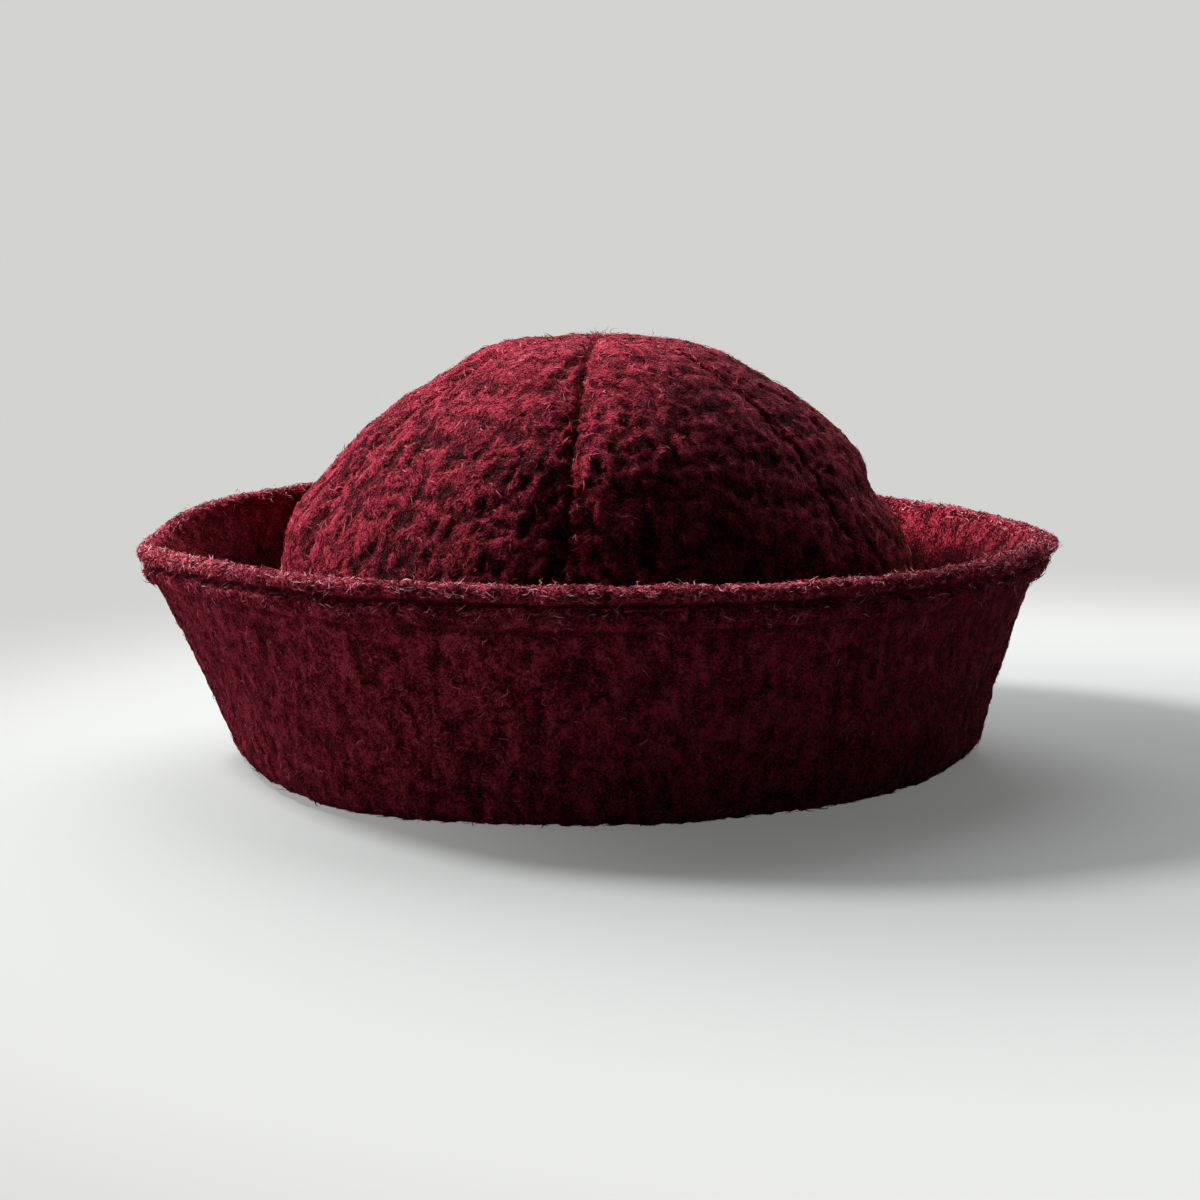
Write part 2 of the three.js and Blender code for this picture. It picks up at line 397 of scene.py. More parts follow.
def smooth_noise(places, cell, stretch=(1, 1, 1)):
    """Noise from -1 to 1 at rows of places, with features of about `cell` times `stretch`."""
    rows = (places / (cell * np.array(stretch))).reshape(-1, 3)
    return np.array([noise.noise(row) for row in rows.tolist()]).reshape(places.shape[:-1])


def pits(cloth):
    """How deep the gaps between the felted tufts are, from 0 to 1. They are longer up the cloth,
    as its stitches were, with some that follow a row of stitches."""
    patch = smooth_noise(cloth, PATCH_SIZE)
    ragged = 0.5 * smooth_noise(cloth + 50, FRAY_SIZE)
    upright = smooth_noise(cloth, UPRIGHT_PIT, (1, 1, 1.7)) + ragged + 0.35 * patch
    sideways = smooth_noise(cloth + 300, SIDEWAYS_PIT, (2.6, 2.6, 0.9)) + ragged - 0.35 * patch
    upright = np.clip((upright + 0.05) / PIT_SIDE, 0, 1)
    return np.maximum(upright, np.clip((sideways - 0.05) / PIT_SIDE, 0, 1))


def felt_relief(cloth, pit, depth):
    """How far the felted face lies below a plain one, in millimetres."""
    tufts = smooth_noise(cloth, TUFT_SIZE, (1, 1, 1.3)) + 0.5 * smooth_noise(cloth + 50, FRAY_SIZE)
    swells = smooth_noise(cloth, SWELL_SIZE)
    return depth * (1.1 * pit - 0.8 * tufts - 0.5 * swells)


# ------------------------ meshes

INNER_STRIDE = 4  # the unseen face of a gore has every fourth point of the seen one each way


def grid_quads(rows, columns, closed=False, ring=False):
    """Corners of the quads between rows x columns points. The last row joins the first where it
    is closed, and in a ring the last column joins the first too."""
    i = np.arange(rows if closed or ring else rows - 1)[:, None]
    j = np.arange(columns if ring else columns - 1)
    above, beside = (i + 1) % rows, (j + 1) % columns
    corners = np.broadcast_arrays(
        i * columns + j, i * columns + beside, above * columns + beside, above * columns + j
    )
    return np.stack(corners, axis=-1).reshape(-1, 4)


def add_piece(name, points, faces, attributes, material):
    """An object from points in millimetres, with values kept at its points under their names."""
    mesh = bpy.data.meshes.new(name)
    mesh.from_pydata((points * MM).tolist(), [], faces)
    mesh.polygons.foreach_set("use_smooth", np.ones(len(mesh.polygons), bool))
    for key, values in attributes.items():
        kind, field = ("FLOAT_VECTOR", "vector") if values.ndim == 2 else ("FLOAT", "value")
        layer = mesh.attributes.new(key, kind, "POINT")
        layer.data.foreach_set(field, values.astype(np.float32).ravel())
    mesh.materials.append(material)
    piece = bpy.data.objects.new(name, mesh)
    bpy.context.scene.collection.objects.link(piece)
    return piece


def rim_of(rows, columns):
    """Indices of a grid's outermost points, in order round it."""
    index = np.arange(rows * columns).reshape(rows, columns)
    return np.concatenate([index[0, :-1], index[:-1, -1], index[-1, :0:-1], index[:0:-1, 0]])


def wall_faces(rows, columns):
    """Faces of a closed wall whose outer face is a fine grid and whose inner face is a coarse one."""
    few_rows, few_columns = (rows - 1) // INNER_STRIDE + 1, (columns - 1) // INNER_STRIDE + 1
    start = rows * columns
    faces = grid_quads(rows, columns).tolist()
    faces += (grid_quads(few_rows, few_columns)[:, ::-1] + start).tolist()
    fine = rim_of(rows, columns)
    coarse = rim_of(few_rows, few_columns) + start
    half = INNER_STRIDE // 2
    for k, corner in enumerate(coarse):
        following = coarse[(k + 1) % len(coarse)]
        edge = [fine[(k * INNER_STRIDE + step) % len(fine)] for step in range(INNER_STRIDE + 1)]
        faces += [[edge[j + 1], edge[j], corner] for j in range(half)]
        faces += [[edge[j + 1], edge[j], following] for j in range(half, INNER_STRIDE)]
        faces.append([edge[half], corner, following])
    return [[int(c) for c in face] for face in faces]


# ------------------------ fibres

FIBRE_SEGMENTS = 4
FIBRE_TAPER = (0.5, 1.0, 1.0, 0.8, 0.2)  # a fibre's width from its root to its tip
FIBRE_LENGTHS = (0.5, 1.3)  # the shortest and the longest beside a usual one
FIBRE_WIDTHS = (0.6, 1.4)
LOFTY_SHORTER = 0.35  # share of its length that a fibre lacks where the nap stands off
ARCHES = (0.05, 0.35)  # millimetres by which a fibre's middle stands off the cloth
LOFTY_ARCH = 0.5  # by how much more it may where the nap stands off
FREE_SHARE = 0.04  # of the fibres there have one end free
FREE_RISE = 0.6  # how far that end rises beside the fibre's length
ROOT_DEPTH = 0.1  # millimetres that a fibre's ends lie in the cloth
PALER_SHARE, LOFTY_GLINT = 0.38, 0.25  # of the fibres that are paler, and how many more where the nap stands off, as painted highlight
PALER_SHADES, PLAIN_SHADES = (0.5, 0.95), (0.0, 0.4)
GLINT_SHARE, GLINT = 0.35, 0.6  # of the fibres on the roll that are painted paler as a highlight, and how much
DARK_SHARE, DARK = 0.3, 0.1  # of the dark ones between them, and their shade
PALE = 0.95  # shade of the free fibres
PIT_SHADE = 0.85  # how much darker a fibre is painted where its pit and painted shade are deepest


def scatter(piece, count, chance):
    """Random places on a piece, closer together where its nap is thicker: the places and normals
    in millimetres, how far the nap stands off there and how deep its pit and painted shade are."""
    mesh = piece.data
    mesh.calc_loop_triangles()
    corners = np.empty(len(mesh.loop_triangles) * 3, np.int32)
    mesh.loop_triangles.foreach_get("vertices", corners)
    corners = corners.reshape(-1, 3)
    points, normals = np.empty((2, len(mesh.vertices) * 3), np.float32)
    mesh.vertices.foreach_get("co", points)
    mesh.vertex_normals.foreach_get("vector", normals)
    points, normals = points.reshape(-1, 3) / MM, normals.reshape(-1, 3)
    nap, loft, pit = np.empty((3, len(points)), np.float32)
    for name, values in (("nap", nap), ("loft", loft), ("pit", pit)):
        mesh.attributes[name].data.foreach_get("value", values)
    a, b, c = (points[corners[:, k]] for k in range(3))
    weight = np.linalg.norm(np.cross(b - a, c - a), axis=1) * nap[corners].mean(axis=1)
    picked = corners[chance.choice(len(corners), count, p=weight / weight.sum())]
    share = chance.dirichlet((1, 1, 1), count)[:, :, None]
    places = (points[picked] * share).sum(axis=1)
    facing = unit((normals[picked] * share).sum(axis=1))
    return places, facing, loft[picked].mean(axis=1), pit[picked].mean(axis=1)


def fibre_lines(places, normal, loft, settings, chance, along_rim):
    """The fibres' middle lines, and which of them have a free end."""
    count = len(places)
    round_hat = unit(np.cross(places, (0, 0, 1)))
    way = chance.normal(size=(count, 3))
    way = way + along_rim * (loft * chance.choice((-1, 1), count))[:, None] * round_hat
    other = unit(np.cross(normal, way))
    side = np.cross(other, normal)
    length = settings.length / MM * chance.uniform(*FIBRE_LENGTHS, count) * (1 - LOFTY_SHORTER * loft)
    # A fibre turns steadily and also sways once and a half.
    middle = (np.arange(FIBRE_SEGMENTS) + 0.5) / FIBRE_SEGMENTS
    curl = (settings.curl * chance.normal(0, 1, count) / (1 + along_rim * loft / 3))[:, None]
    heading = curl * middle + 0.5 * curl * np.sin(9 * middle + chance.uniform(0, 6, (count, 1)))
    step = (length / FIBRE_SEGMENTS)[:, None, None]
    move = step * (np.cos(heading)[..., None] * side[:, None] + np.sin(heading)[..., None] * other[:, None])
    line = np.concatenate([np.zeros((count, 1, 3)), np.cumsum(move, axis=1)], axis=1)
    # It leaves the cloth and comes back to it, or has one end free.
    along = np.linspace(0, 1, FIBRE_SEGMENTS + 1)
    rise = chance.uniform(*ARCHES, count) + loft * chance.uniform(0, LOFTY_ARCH, count)
    arch = rise[:, None] * 4 * along * (1 - along)
    free = chance.random(count) < FREE_SHARE * loft**2
    height = np.where(free[:, None], FREE_RISE * length[:, None] * along, arch) - ROOT_DEPTH
    return line + places[:, None] + height[..., None] * normal[:, None], free


def fibre_shades(loft, pit, free, chance):
    """How pale each fibre is: from 0, black, by red to 1, pale."""
    count = len(loft)
    paler = chance.random(count) < PALER_SHARE + LOFTY_GLINT * loft
    shade = np.where(paler, chance.uniform(*PALER_SHADES, count), chance.uniform(*PLAIN_SHADES, count))
    # Painted shade darkens the fibres in pits and painted shade, and painted highlight makes some on the
    # standing nap paler.
    glinting = chance.random(count) < GLINT_SHARE
    shade = shade * (1 - PIT_SHADE * pit) + GLINT * loft * (1 - pit) * glinting
    shade = np.where(chance.random(count) < DARK_SHARE * loft, DARK, shade)
    return np.where(free, PALE, shade)


def add_nap(piece, count, settings, material, seed, along_rim=0.0):
    """Curly loose fibres on a piece, as one mesh of narrow ribbons that lie on the cloth. With
    along_rim they turn the way that the brim's edge runs, the more so the more they stand off."""
    chance = np.random.default_rng(seed)
    places, normal, loft, pit = scatter(piece, count, chance)
    line, free = fibre_lines(places, normal, loft, settings, chance, along_rim)
    ahead = np.gradient(line, axis=1)
    across = unit(np.cross(ahead, normal[:, None] + chance.normal(0, 0.4, (count, 1, 3))))
    width = settings.thickness / MM / 2 * chance.uniform(*FIBRE_WIDTHS, (count, 1))
    half = (width * np.array(FIBRE_TAPER))[..., None] * across
    points = np.stack([line - half, line + half], axis=2).reshape(-1, 3)
    points[:, 2] = np.maximum(points[:, 2], 0)
    root = np.arange(count)[:, None] * (FIBRE_SEGMENTS + 1)
    first = 2 * (root + np.arange(FIBRE_SEGMENTS)).reshape(-1, 1)
    faces = (first + np.array([0, 1, 3, 2])).tolist()
    # Each fibre is painted darker towards its two ends, as shade where it goes into the cloth.
    end_shade = 0.45 + 0.55 * np.sin(math.pi * (0.1 + 0.8 * np.linspace(0, 1, FIBRE_SEGMENTS + 1)))
    shade = fibre_shades(loft, pit, free, chance)[:, None] * end_shade
    shade = np.repeat(shade, 2, axis=1).ravel()
    return add_piece(f"{piece.name}_nap", points, faces, {"shade": shade}, material)


# ------------------------ materials


def add_node(tree, kind, settings=None, inputs=None):
    """Adds a node, sets its properties, and gives each input a value or another node's output."""
    node = tree.nodes.new(kind)
    node.location = (180 * len(tree.nodes), 0)
    for name, value in (settings or {}).items():
        setattr(node, name, value)
    for name, value in (inputs or {}).items():
        if isinstance(value, bpy.types.NodeSocket):
            tree.links.new(value, node.inputs[name])
        else:
            node.inputs[name].default_value = value
    return node


def new_material(name):
    """An empty material: its node tree and its output's surface socket."""
    material = bpy.data.materials.new(name)
    material.use_nodes = True
    material.node_tree.nodes.clear()
    output = material.node_tree.nodes.new("ShaderNodeOutputMaterial")
    return material, material.node_tree, output.inputs["Surface"]


SMOOTH = {"interpolation_type": "SMOOTHSTEP"}

# Sizes of the wool's pattern in millimetres, as its noise textures are scaled.
CURL_SIZES = (1.1, 1.6)  # loops of felted fibre, in two layers
GRAIN_SIZE = 0.6
YARN_SIZE = 3.5  # patches of one yarn, a few stitches across
FINE_RELIEF = 1.1  # height of the relief that the pattern itself gives


def boiled_wool(wool):
    """Boiled wool: wine-red and black yarns knitted together, then felted in hot water. The felting
    leaves a tangle of curly fibres over dark flecks where the black yarn shows and shade is painted into
    the gaps."""
    material, tree, surface = new_material("boiled wool")
    cloth = add_node(tree, "ShaderNodeAttribute", {"attribute_name": "cloth"}).outputs["Vector"]
    pit = add_node(tree, "ShaderNodeAttribute", {"attribute_name": "pit"}).outputs["Fac"]

    # Felted fibres are about 0.03 mm thick. They are drawn 0.3 mm thick, so that they show, as
    # the curly lines along which two smooth noises pass through their middle value.
    inputs = {"Vector": cloth, "Scale": 1 / CURL_SIZES[0], "Detail": 1.0, "Distortion": 0.7}
    first = add_node(tree, "ShaderNodeTexNoise", None, inputs).outputs["Fac"]
    first = add_node(tree, "ShaderNodeMath", {"operation": "PINGPONG"}, {0: first, 1: 0.5}).outputs[0]
    inputs = {"Vector": cloth, "W": 5.0, "Scale": 1 / CURL_SIZES[1], "Detail": 1.0, "Distortion": 1.0}
    second = add_node(tree, "ShaderNodeTexNoise", {"noise_dimensions": "4D"}, inputs).outputs["Fac"]
    second = add_node(tree, "ShaderNodeMath", {"operation": "PINGPONG"}, {0: second, 1: 0.5}).outputs[0]
    either = add_node(tree, "ShaderNodeMath", {"operation": "MAXIMUM"}, {0: first, 1: second}).outputs[0]
    inputs = {"Value": either, 1: 0.42, 2: 0.5}
    curls = add_node(tree, "ShaderNodeMapRange", SMOOTH, inputs).outputs[0]
    # Grains of wool, and the two yarns in patches that are longer up the cloth.
    inputs = {"Vector": cloth, "Scale": 1 / GRAIN_SIZE, "Detail": 2.0, "Roughness": 0.6, "Distortion": 0.5}
    grain = add_node(tree, "ShaderNodeTexNoise", None, inputs).outputs["Fac"]
    upward = add_node(tree, "ShaderNodeVectorMath", {"operation": "MULTIPLY"}, {0: cloth, 1: (1, 1, 0.5)})
    inputs = {"Vector": upward.outputs[0], "Scale": 1 / YARN_SIZE, "Detail": 3.0, "Roughness": 0.6}
    yarns = add_node(tree, "ShaderNodeTexNoise", None, inputs).outputs["Fac"]
    # The fibres that stand highest are painted palest and the gaps between them darkest, partly the
    # black yarn and partly painted shade, so one height gives the colour and the relief.
    height = -0.9
    for part, weight in ((grain, 1.8), (yarns, 1.3), (curls, 0.3), (pit, -0.5)):
        inputs = {0: part, 1: weight, 2: height}
        height = add_node(tree, "ShaderNodeMath", {"operation": "MULTIPLY_ADD"}, inputs).outputs[0]
    colour = add_node(tree, "ShaderNodeValToRGB", None, {"Fac": height})
    stops = ((0.36, wool.black), (0.55, wool.deep), (0.76, wool.red), (0.98, wool.pink))
    for place, _ in stops[1:-1]:
        colour.color_ramp.elements.new(place)
    for element, (place, tone) in zip(colour.color_ramp.elements, stops):
        element.position, element.color = place, tone
    inputs = {"Strength": 1.0, "Distance": FINE_RELIEF * MM, "Height": height}
    bump = add_node(tree, "ShaderNodeBump", None, inputs)
    inputs = {
        "Base Color": colour.outputs["Color"],
        "Roughness": 0.95,
        "Specular IOR Level": 0.05,
        "Sheen Weight": 0.7,
        "Sheen Roughness": 0.2,
        "Sheen Tint": SHEEN_TINT,
        "Normal": bump.outputs["Normal"],
    }
    shader = add_node(tree, "ShaderNodeBsdfPrincipled", None, inputs)
    tree.links.new(shader.outputs["BSDF"], surface)
    return material


def loose_wool(wool):
    """Loose wool fibres: dyed in the yarn, so some are dark, most are red and a few catch the light."""
    material, tree, surface = new_material("loose wool fibres")
    shade = add_node(tree, "ShaderNodeAttribute", {"attribute_name": "shade"}).outputs["Fac"]
    ramp = add_node(tree, "ShaderNodeValToRGB", None, {"Fac": shade})
    stops = ((0.05, wool.black), (0.2, wool.deep), (0.4, wool.red), (0.65, wool.pink), (0.95, wool.pale))
    for place, _ in stops[1:-1]:
        ramp.color_ramp.elements.new(place)
    for element, (place, tone) in zip(ramp.color_ramp.elements, stops):
        element.position, element.color = place, tone
    inputs = {
        "Base Color": ramp.outputs["Color"],
        "Roughness": 0.8,
        "Specular IOR Level": 0.05,
        "Sheen Weight": 0.5,
        "Sheen Roughness": 0.2,
        "Sheen Tint": SHEEN_TINT,
    }
    shader = add_node(tree, "ShaderNodeBsdfPrincipled", None, inputs)
    through = add_node(tree, "ShaderNodeBsdfTranslucent", None, {"Color": ramp.outputs["Color"]})
    inputs = {0: 0.35, 1: shader.outputs["BSDF"], 2: through.outputs["BSDF"]}
    fibre = add_node(tree, "ShaderNodeMixShader", None, inputs)
    tree.links.new(fibre.outputs["Shader"], surface)
    return material


SHADOW_PLACE = (0.107, -0.06, 0.0)  # metres, the middle of the hat's shadow
PAPER_FADE = (0.156, 0.468)  # metres from there over which the paper stops reflecting the lamps
GLOW_RISE = (0.083, 0.332)  # metres from there over which the paper's painted glow grows
GLOW_UNDER = 0.222  # the share of that painted glow in the hat's shadow


def seamless_paper(colour, glow):
    """Seamless background paper: pulped and rolled, so it is matt with a very faint mottle. It glows
    with painted light, faintly in the hat's shadow and wholly away from the hat."""
    material, tree, surface = new_material("seamless paper")
    place = add_node(tree, "ShaderNodeTexCoord").outputs["Object"]
    mottle = add_node(tree, "ShaderNodeTexNoise", None, {"Vector": place, "Scale": 3.0}).outputs["Fac"]
    inputs = {0: mottle, 6: [c * 0.97 for c in colour[:3]] + [1], 7: list(colour)}
    tone = add_node(tree, "ShaderNodeMix", {"data_type": "RGBA"}, inputs)
    inputs = {0: place, 1: SHADOW_PLACE}
    away = add_node(tree, "ShaderNodeVectorMath", {"operation": "DISTANCE"}, inputs).outputs["Value"]
    inputs = {"Value": away, 1: PAPER_FADE[0], 2: PAPER_FADE[1]}
    behind = add_node(tree, "ShaderNodeMapRange", SMOOTH, inputs).outputs[0]
    inputs = {0: behind, 6: tone.outputs[2], 7: [0, 0, 0, 1]}
    front = add_node(tree, "ShaderNodeMix", {"data_type": "RGBA"}, inputs)
    inputs = {"Value": away, 1: GLOW_RISE[0], 2: GLOW_RISE[1], 3: GLOW_UNDER * glow, 4: glow}
    painted_glow = add_node(tree, "ShaderNodeMapRange", SMOOTH, inputs)
    inputs = {
        "Base Color": front.outputs[2],
        "Roughness": 0.9,
        "Specular IOR Level": 0.0,
        "Emission Color": linear("#fffffc"),
        "Emission Strength": painted_glow.outputs[0],
    }
    shader = add_node(tree, "ShaderNodeBsdfPrincipled", None, inputs)
    tree.links.new(shader.outputs["BSDF"], surface)
    return material


def shared(name, make, *values):
    """A material that several pieces use, made when the first of them asks for it."""
    return bpy.data.materials.get(name) or make(*values)


# ------------------------ pieces


def finish_cloth(piece, node, nap):
    """Attaches a piece of cloth and its nap to the hat's body, and hides the part of model.glb that they
    replace.
    """
    for part in (piece, nap):
        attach(part, "root")
    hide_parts(node)


TIP_GAP = 0.5  # millimetres between the crown's middle and where the gores begin
BUNCHING = 0.25  # how much closer together the gores' points lie towards the seams
CLOTH_APART = 97.0  # millimetres between two gores' cloth, so that their patterns differ
CALM_RADIUS, CALM_REACH = 20, 45  # the gaps and their painted shade are shallow this near the tip, and grow over this
SHADE_FADE = 12  # millimetres over which the painted shade behind the brim begins
NAP_REACH = 4  # millimetres beside a seam that have more nap
SEAM_NAP, SEAM_LOFT = 1.2, 0.3  # how much more there is, and how far it stands off


class HAT_OT_crown(bpy.types.Operator):
    """Builds the crown's six gores, each sewn to the next along a sunken seam"""

    bl_idname = "hat.crown"
    bl_label = "Crown gores"

    def execute(self, context):
        shape, nap = context.scene.hat_shape, context.scene.hat_nap
        wool = context.scene.hat_wool
        for number in range(1, GORES + 1):
            self.add_gore(number, shape, nap, wool)
        return {"FINISHED"}

    def add_gore(self, number, shape, nap, wool):
        """One gore, a wall of cloth, and its loose fibres."""
        width = 2 * math.pi * CROWN[1][-1] / GORES
        rows = self.points_along(CROWN_LENGTH, shape.spacing / MM)
        columns = self.points_along(width, shape.spacing / MM)
        down = np.linspace(TIP_GAP, CROWN_LENGTH, rows)[:, None]
        even = np.linspace(-1, 1, columns)[None]
        across = (1 + BUNCHING) * even - BUNCHING * even**3
        seen = self.face(number, down, across, shape, 0)
        hidden = (part[::INNER_STRIDE, ::INNER_STRIDE] for part in np.broadcast_arrays(down, across))
        unseen = self.face(number, *hidden, shape, CLOTH)
        points, cloth, pit, mat, loft = (
            np.concatenate([a.reshape(-1, *a.shape[2:]), b.reshape(-1, *b.shape[2:])])
            for a, b in zip(seen, unseen)
        )
        attributes = {"cloth": cloth, "pit": pit, "nap": mat, "loft": loft}
        material = shared("boiled wool", boiled_wool, wool)
        fibres = shared("loose wool fibres", loose_wool, wool)
        gore = add_piece(f"gore_{number}", points, wall_faces(rows, columns), attributes, material)
        gore_nap = add_nap(gore, nap.crown_fibres, nap, fibres, seed=number)
        node = f"crown_gore_{number}"
        finish_cloth(gore, node, gore_nap)

    def points_along(self, length, spacing):
        """How many points a line gets, so that every fourth one is an end of an even split."""
        return INNER_STRIDE * round(length / spacing / INNER_STRIDE) + 1

    def face(self, number, down, across, shape, depth):
        """One face of a gore: its points, cloth coordinates, pits, nap and loft."""
        down, across = np.broadcast_arrays(down, across)
        azimuth = FIRST_SEAM + GORE_ANGLE * (number - 0.5 + across / 2)
        radius, height, normal_out, normal_up = crown_at(down)
        half_width = np.radians(GORE_ANGLE / 2) * radius
        from_seam = (1 - np.abs(across)) * half_width
        cloth = np.stack([across * half_width, np.full_like(down, CLOTH_APART * number), -down], axis=-1)
        seen = depth == 0
        pit = pits(cloth) if seen else np.zeros_like(down)
        pit = pit * (0.3 + 0.7 * np.clip((radius - CALM_RADIUS) / CALM_REACH, 0, 1))
        relief = felt_relief(cloth, pit, shape.relief / MM) if seen else 0
        groove = shape.seam_groove / MM * np.exp(-((from_seam / STITCH_REACH) ** 2)) if seen else 0
        # The seams run together at the tip, so their dip, groove and nap fade there.
        fade = np.minimum(1, radius / (2 * SEAM_REACH))
        inward = crown_dip(azimuth, height, from_seam) * fade + groove * np.minimum(1, radius / 15)
        inward = inward + relief + depth
        low = np.maximum(height - normal_up * inward, CROWN_FOOT)
        points = at(np.maximum(radius - normal_out * inward, 0.02), azimuth, low)
        # Painted shade: the crown's wool is darker low down, where the brim shades it.
        pit = np.maximum(pit, np.clip((PAINTED_SHADE_BELOW - height) / SHADE_FADE, 0, 1))
        near_seam = np.exp(-((from_seam / NAP_REACH) ** 2))
        mat = np.full_like(down, 1.0 if seen else 0.0) * (1 + SEAM_NAP * near_seam)
        return points, cloth, pit, mat, SEAM_LOFT * near_seam * np.minimum(1, radius / 30)


OUTER_HEIGHT, FACING_HEIGHT = 60, 66  # millimetres of cloth that the points are spread over
FACING_APART = 200.0  # millimetres between the two plies' cloth, so that their patterns differ
OUTER_PITS, FACING_PITS = 0.65, 0.325  # how deep the gaps are, pressed flatter than the crown's
RIM_TURN = 4.0  # how strongly the brim's loose fibres turn the way that its edge runs
RIDGE_POINTS, CAP_POINTS, BACK_POINTS, ROLL_POINTS = 11, 7, 9, 15
BARE_POINTS = 4  # points of the roll, next to its groove, that carry no nap
RIDGE_SLOPE = 1.5  # millimetres below the ridge where its close points begin
RIDGE_STEP, RIDGE_SHADE = 1.2, 0.7  # how far below the ridge its painted shade is deepest, and how dark
PLUMP = 0.22  # by how much the roll swells and thins


def build_ply(name, sections, fibres, context):
    """One ply of the brim, a ring of closed sections, with its loose fibres: the sections are rows
    of distances along the brim's line and inward, and say how much nap and loft each point has
    and how much shade is painted on it."""
    shape, nap, wool = context.scene.hat_shape, context.scene.hat_nap, context.scene.hat_wool
    azimuth, along, inward, mat, loft, painted_shade = sections
    turn = np.radians(azimuth)
    east, north = BAND_RADIUS * np.sin(turn) + 0 * along, BAND_RADIUS * np.cos(turn) + 0 * along
    cloth = np.stack([east, north, along], axis=-1)
    cloth = cloth + (FACING_APART if name == "facing_ply" else 0.0)
    seen = np.broadcast_to(mat > 0, along.shape)
    pit, relief = np.zeros_like(along), np.zeros_like(along)
    side, pitted = (-1, FACING_PITS) if name == "facing_ply" else (1, OUTER_PITS)
    pit[seen] = pitted * pits(cloth[seen])
    relief[seen] = felt_relief(cloth[seen], pit[seen], shape.relief / MM)
    # The painted shade joins the pits, so it darkens the cloth and its fibres.
    pit = np.maximum(pit, painted_shade)
    points = brim_point(azimuth, along, inward + side * relief)
    attributes = {"cloth": cloth.reshape(-1, 3), "pit": pit.ravel()}
    for key, part in (("nap", mat), ("loft", loft)):
        attributes[key] = np.broadcast_to(part, along.shape).ravel()
    material = shared("boiled wool", boiled_wool, wool)
    fibre_wool = shared("loose wool fibres", loose_wool, wool)
    faces = grid_quads(*along.shape, ring=True).tolist()
    ply = add_piece(name, points.reshape(-1, 3), faces, attributes, material)
    ply_nap = add_nap(ply, fibres, nap, fibre_wool, seed=len(name), along_rim=RIM_TURN)
    return ply, ply_nap


def brim_azimuths(spacing):
    """Azimuths of the brim's sections, as a column."""
    count = round(2 * math.pi * BAND_RADIUS / spacing)
    return 360 * np.arange(count)[:, None] / count


def edge_wander(azimuth, wobble):
    """How far the brim's soft edge strays upward, in millimetres."""
    ring = at(BAND_RADIUS, azimuth, 0.0)
    return wobble * (smooth_noise(ring, 23) + 0.5 * smooth_noise(ring, 8))


class HAT_OT_outer_ply(bpy.types.Operator):
    """Builds the brim's outer ply, folded up at the foot, with a thick edge below the rim"""

    bl_idname = "hat.outer_ply"
    bl_label = "Brim, outer ply"

    def execute(self, context):
        shape = context.scene.hat_shape
        spacing = shape.spacing / MM
        azimuth = brim_azimuths(spacing)
        length = brim_parts(azimuth)[-1]
        groove = shape.groove / MM * (1 + smooth_noise(at(BAND_RADIUS, azimuth, 40.0), 12))
        top = length - ROLL_HEIGHT - np.maximum(groove, GAP) + edge_wander(azimuth, shape.wobble / MM)
        ridge_foot = top - RIDGE_HEIGHT - RIDGE_SLOPE
        lower = np.linspace(0, 1, round(OUTER_HEIGHT / spacing))[:-1] * ridge_foot
        upper = ridge_foot + np.linspace(0, 1, RIDGE_POINTS) * (top - EDGE_ROUND - ridge_foot)
        up = np.concatenate([lower, upper], axis=1)
        # The ridge is a flat swelling with soft edges, a little wider than its height.
        across = np.clip((top - up) / (RIDGE_HEIGHT + 0.7) * 2 - 1, -1, 1)
        ridge = -RIDGE_PROUD * (1 - across**6)
        turn = np.radians(np.linspace(-90, 90, CAP_POINTS))
        cap_up = top - EDGE_ROUND + EDGE_ROUND * np.cos(turn)
        cap_in = CLOTH / 2 * (1 + np.sin(turn)) + 0 * top
        back = np.linspace(1, 0, BACK_POINTS) * (top - EDGE_ROUND)
        along = np.concatenate([up, cap_up, back], axis=1)
        inward = np.concatenate([ridge, cap_in, CLOTH + 0 * back], axis=1)
        # The nap grows on the outside and on half of the rounded edge. It thickens towards the
        # top, is thin along the painted shade below the ridge, and stops short of the groove.
        grown = up.shape[1] + CAP_POINTS // 2
        mat = np.concatenate([np.ones(grown), np.zeros(along.shape[1] - grown)])
        below_top = top - along
        near_top = np.clip(1 - below_top / 6, 0, 1)
        step = np.exp(-((below_top - RIDGE_HEIGHT - RIDGE_STEP) ** 2))
        clear = np.clip((below_top + 0.05) / 0.35, 0, 1)
        mat = mat * (1 + near_top) * clear * (1 - RIDGE_SHADE * step)
        # Loft also makes more fibres pale near the top, as painted highlight.
        loft = 0.6 * near_top + 0.4 * np.clip(1 - below_top / 2.2, 0, 1) + 0.3 * step
        # Painted shade: a dark line below the ridge, and the top edge dark as the groove's shade.
        shade = np.maximum(RIDGE_SHADE * step, np.clip(1 - below_top / 0.5, 0, 1))
        sections = azimuth, along, inward, mat, loft, shade
        ply, nap = build_ply("outer_ply", sections, context.scene.hat_nap.outer_fibres, context)
        finish_cloth(ply, "brim_outer", nap)
        return {"FINISHED"}


